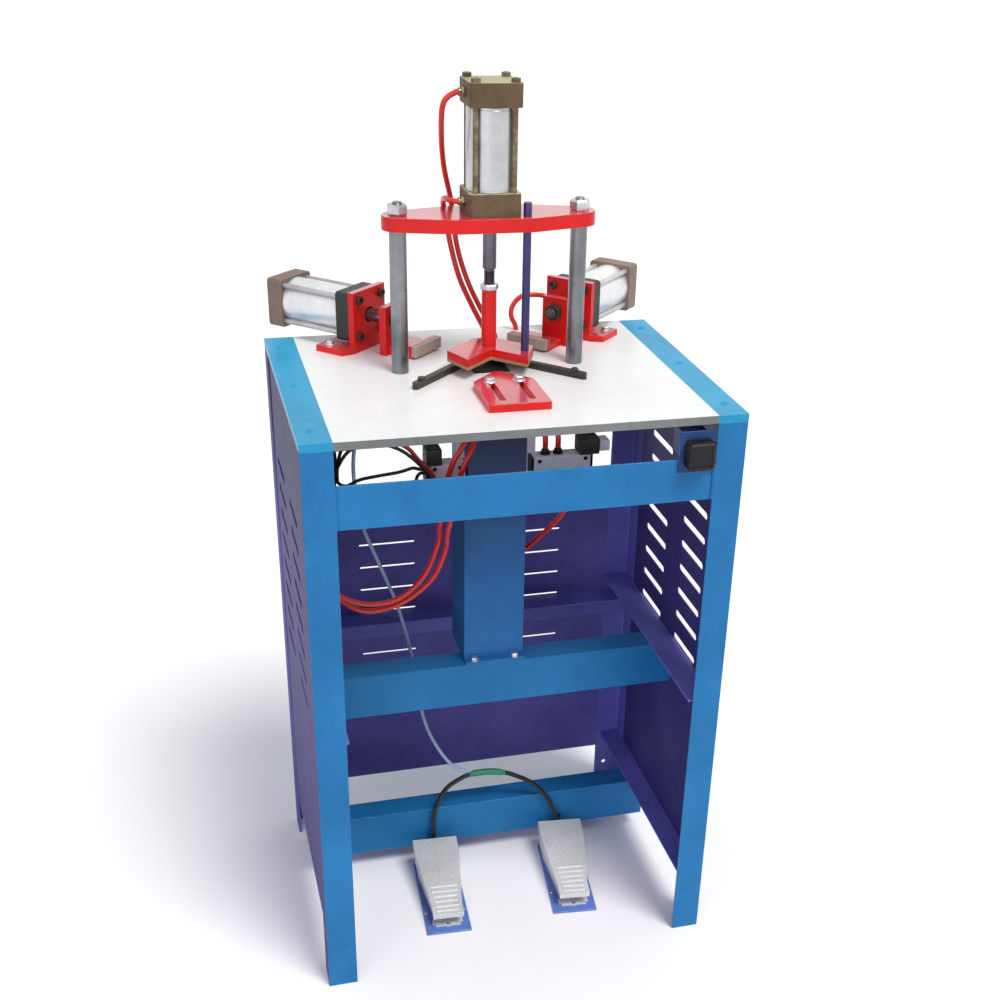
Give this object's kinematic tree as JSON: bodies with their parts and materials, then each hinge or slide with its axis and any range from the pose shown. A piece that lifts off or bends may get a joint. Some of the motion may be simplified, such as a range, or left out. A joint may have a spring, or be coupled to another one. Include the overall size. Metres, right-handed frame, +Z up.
{
  "type": "picture frame underpinner",
  "caption": "Pneumatic bench that clamps the mitred corner of a picture frame from above and the sides and drives V-nails up into it from below, worked by foot pedals.",
  "frame": {"origin": "on the floor under the middle of the machine's box, without the free pedal cable", "axes": "+X to the right and +Y to the back as the operator stands, +Z up"},
  "size_m": [0.63, 0.554, 1.345],
  "materials": {
    "blue_enamel": "gloss",
    "white_enamel": "gloss",
    "zinc": "bright",
    "steel": "satin",
    "black_steel": "satin",
    "red_enamel": "gloss",
    "olive_casting": "satin",
    "barrel_alloy": "satin",
    "tan_pad": "matte",
    "blued_steel": "satin",
    "black_plastic": "matte",
    "hammered_alloy": "hammered",
    "red_hose": "gloss",
    "pale_cable": "matte",
    "black_cable": "matte",
    "green_sleeve": "matte"
  },
  "bodies": {
    "cabinet": {"leg_front_left": "blue_enamel", "leg_front_right": "blue_enamel", "leg_rear_left": "blue_enamel", "leg_rear_right": "blue_enamel", "upper_front_rail": "blue_enamel", "upper_rear_rail": "blue_enamel", "upper_side_rail_left": "blue_enamel", "upper_side_rail_right": "blue_enamel", "mid_front_rail": "blue_enamel", "mid_rear_rail": "blue_enamel", "mid_side_rail_left": "blue_enamel", "mid_side_rail_right": "blue_enamel", "bottom_front_rail": "blue_enamel", "bottom_side_rail_left": "blue_enamel", "bottom_side_rail_right": "blue_enamel", "side_panel_left": "blue_enamel", "side_panel_right": "blue_enamel", "back_panel": "blue_enamel", "table_top": "white_enamel", "table_strips": "blue_enamel", "fasteners": "zinc", "driver_column": "blue_enamel", "driver_cylinder": "steel", "nail_block": "black_steel", "guide_post_left": "steel", "guide_post_right": "steel", "bridge_plate": "red_enamel", "post_nuts": "zinc", "press_front_cap": "olive_casting", "press_barrel": "barrel_alloy", "press_rear_cap": "olive_casting", "fence_left": "black_steel", "fence_right": "black_steel", "jaw_bracket_left": "red_enamel", "jaw_bracket_right": "red_enamel", "jaw_cylinder_left": "barrel_alloy", "jaw_cylinder_right": "barrel_alloy", "valve_bank": "barrel_alloy", "regulator": "blue_enamel", "pedal_base_left": "hammered_alloy", "pedal_base_right": "hammered_alloy", "air_hoses": "red_hose", "wiring": "black_cable", "pedal_cable": "pale_cable", "pedal_leads": "black_cable", "cable_joint": "green_sleeve"},
    "press": {"press_rod": "steel", "rod_nut": "zinc", "clamp_plate": "red_enamel", "clamp_pad": "tan_pad", "guide_rod": "blued_steel"},
    "left_jaw": {"jaw_rod_left": "steel", "jaw_left": "red_enamel"},
    "right_jaw": {"jaw_rod_right": "steel", "jaw_right": "red_enamel"},
    "stop": {"stop_plate": "red_enamel"},
    "driver": {"driver_blade": "steel"},
    "knob": {"regulator_knob": "black_plastic"},
    "left_pedal": {"pedal_left": "hammered_alloy"},
    "right_pedal": {"pedal_right": "hammered_alloy"}
  },
  "joints": [
    {"name": "press_slide", "type": "slide", "parent": "cabinet", "child": "press", "axis": [0, 0, 1], "range_m": [0, 0.07]},
    {"name": "left_jaw_slide", "type": "slide", "parent": "cabinet", "child": "left_jaw", "axis": [0.7071, -0.7071, 0], "range_m": [0, 0.05]},
    {"name": "right_jaw_slide", "type": "slide", "parent": "cabinet", "child": "right_jaw", "axis": [-0.7071, -0.7071, 0], "range_m": [0, 0.05]},
    {"name": "stop_slide", "type": "slide", "parent": "cabinet", "child": "stop", "axis": [0, 1, 0], "range_m": [0, 0.06]},
    {"name": "driver_slide", "type": "slide", "parent": "cabinet", "child": "driver", "axis": [0, 0, 1], "range_m": [0, 0.02]},
    {"name": "knob_turn", "type": "hinge", "parent": "cabinet", "child": "knob", "pos_m": [0.241, -0.26497, 0.878], "axis": [0, -1, 0], "range_deg": [-135, 135]},
    {"name": "left_pedal_hinge", "type": "hinge", "parent": "cabinet", "child": "left_pedal", "pos_m": [-0.0915, -0.00329, 0.048], "axis": [0.9981, -0.061, 0], "range_deg": [0, 6], "stiffness_Nm_per_rad": 2, "springref_deg": -14.32},
    {"name": "right_pedal_hinge", "type": "hinge", "parent": "cabinet", "child": "right_pedal", "pos_m": [0.13947, -0.00308, 0.048], "axis": [0.9936, -0.1132, 0], "range_deg": [0, 6], "stiffness_Nm_per_rad": 2, "springref_deg": -14.32}
  ]
}
